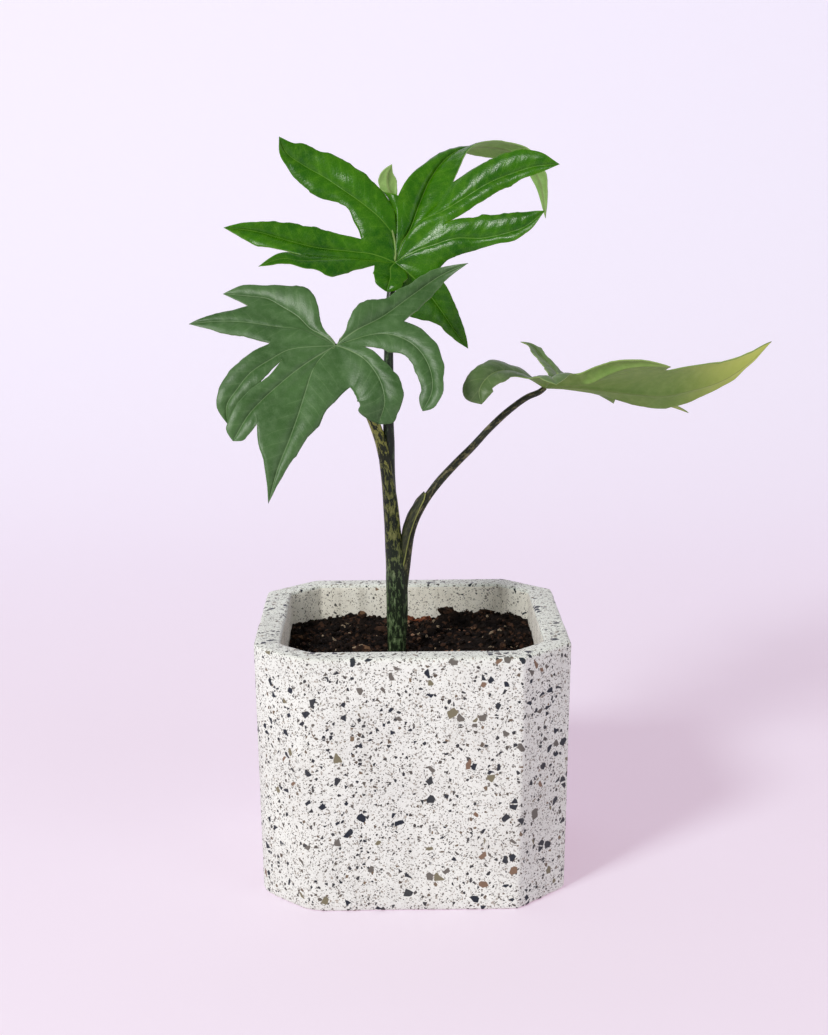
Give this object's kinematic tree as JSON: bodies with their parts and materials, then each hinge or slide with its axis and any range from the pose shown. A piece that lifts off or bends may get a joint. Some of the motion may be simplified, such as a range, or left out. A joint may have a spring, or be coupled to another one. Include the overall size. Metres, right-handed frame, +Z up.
{
  "type": "potted lobed-leaf aroid",
  "caption": "Young foliage plant with deeply lobed green leaves on mottled stalks, growing in a square terrazzo planter with cut corners.",
  "frame": {"origin": "centre of the planter's flat underside", "axes": "+Z up along the stem, +X to the right, and the planter's front faces -Y"},
  "size_m": [0.2624, 0.14, 0.334],
  "materials": {
    "terrazzo": "honed cement with small stone chips",
    "potting_soil": "damp crumbly peat mix",
    "stem_skin": "smooth mottled plant skin",
    "stalk_skin": "smooth mottled plant skin",
    "dark_stalk_skin": "glossy dark plant skin",
    "sheath_skin": "thin satin plant skin",
    "front_blade": "satin grey-green leaf",
    "top_blade": "glossy fresh green leaf",
    "right_blade": "satin leaf with a pale underside"
  },
  "bodies": {
    "root": {"pot": "terrazzo", "soil": "potting_soil", "stem_base": "stem_skin", "petiole_front": "stalk_skin", "petiole_top": "dark_stalk_skin", "petiole_right": "stalk_skin", "petiole_sheath": "sheath_skin", "leaf_front": "front_blade", "leaf_top": "top_blade", "leaf_right": "right_blade"}
  },
  "joints": []
}
